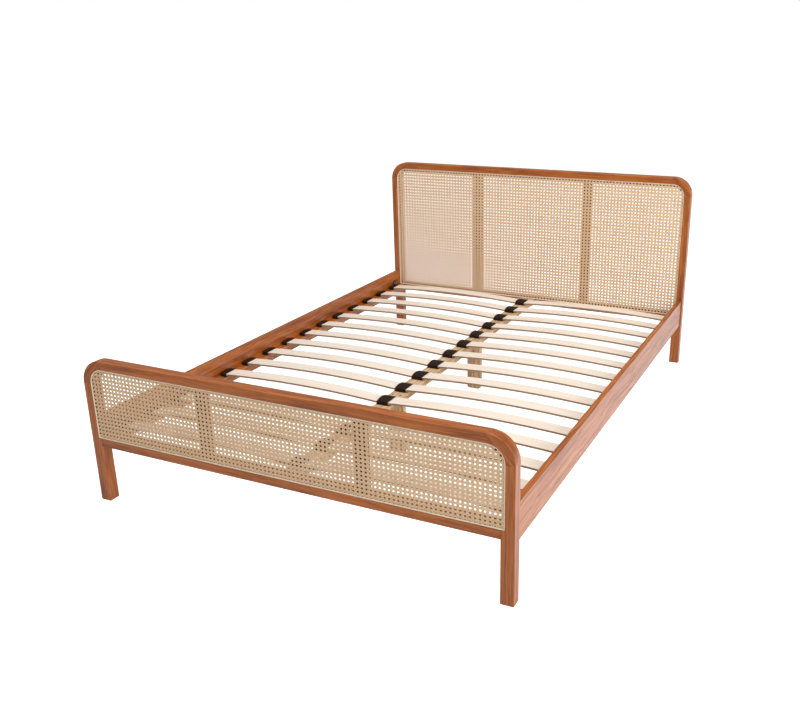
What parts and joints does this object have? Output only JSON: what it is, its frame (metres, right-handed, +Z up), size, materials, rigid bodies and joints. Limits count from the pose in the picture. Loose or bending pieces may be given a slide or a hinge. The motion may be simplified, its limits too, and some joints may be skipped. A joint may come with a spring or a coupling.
{
  "type": "cane bed frame",
  "caption": "Double bed frame with rounded wooden head and foot frames, woven cane sheets, side rails and sprung bowed slats.",
  "frame": {"origin": "on the floor, under the middle of the bed", "axes": "+X across the bed, +Y from the foot to the head, +Z up"},
  "size_m": [1.46, 2.088, 0.838],
  "materials": {
    "frame_wood": "satin warm orange brown stain, fine grain",
    "cane": "natural woven cane, satin",
    "cane_spline": "natural reed, satin",
    "slat_wood": "pale bent plywood, matt",
    "support_wood": "plain softwood, matt",
    "dowel_wood": "plain beech, matt",
    "holder_plastic": "black, matt",
    "zinc_steel": "zinc plated",
    "brown_steel": "bronze plated"
  },
  "bodies": {
    "root": {"bed_bolt_nuts": "zinc_steel", "bed_bolts": "zinc_steel", "centre_leg_foot": "support_wood", "centre_leg_head": "support_wood", "centre_leg_screws": "brown_steel", "centre_rail": "support_wood", "centre_rail_hangers": "zinc_steel", "foot_bottom_rail": "frame_wood", "foot_cane_sheet": "cane", "foot_cane_spline": "cane_spline", "foot_corner_left": "frame_wood", "foot_corner_right": "frame_wood", "foot_frame_dowels": "dowel_wood", "foot_post_left": "frame_wood", "foot_post_right": "frame_wood", "foot_stile_left": "frame_wood", "foot_stile_right": "frame_wood", "foot_top_rail": "frame_wood", "half_moon_washers": "zinc_steel", "hanger_screws": "zinc_steel", "head_bottom_rail": "frame_wood", "head_cane_sheet": "cane", "head_cane_spline": "cane_spline", "head_corner_left": "frame_wood", "head_corner_right": "frame_wood", "head_frame_dowels": "dowel_wood", "head_post_left": "frame_wood", "head_post_right": "frame_wood", "head_stile_left": "frame_wood", "head_stile_right": "frame_wood", "head_top_rail": "frame_wood", "ledger_screws": "brown_steel", "side_rail_dowels": "dowel_wood", "side_rail_left": "frame_wood", "side_rail_right": "frame_wood", "slat_holders_centre": "holder_plastic", "slat_holders_left": "holder_plastic", "slat_holders_right": "holder_plastic", "slat_ledger_left": "frame_wood", "slat_ledger_right": "frame_wood", "slat_row_01": "slat_wood", "slat_row_02": "slat_wood", "slat_row_03": "slat_wood", "slat_row_04": "slat_wood", "slat_row_05": "slat_wood", "slat_row_06": "slat_wood", "slat_row_07": "slat_wood", "slat_row_08": "slat_wood", "slat_row_09": "slat_wood", "slat_row_10": "slat_wood", "slat_row_11": "slat_wood", "slat_row_12": "slat_wood", "slat_row_13": "slat_wood", "slat_row_14": "slat_wood", "slat_row_15": "slat_wood", "threaded_inserts": "zinc_steel"}
  },
  "joints": []
}
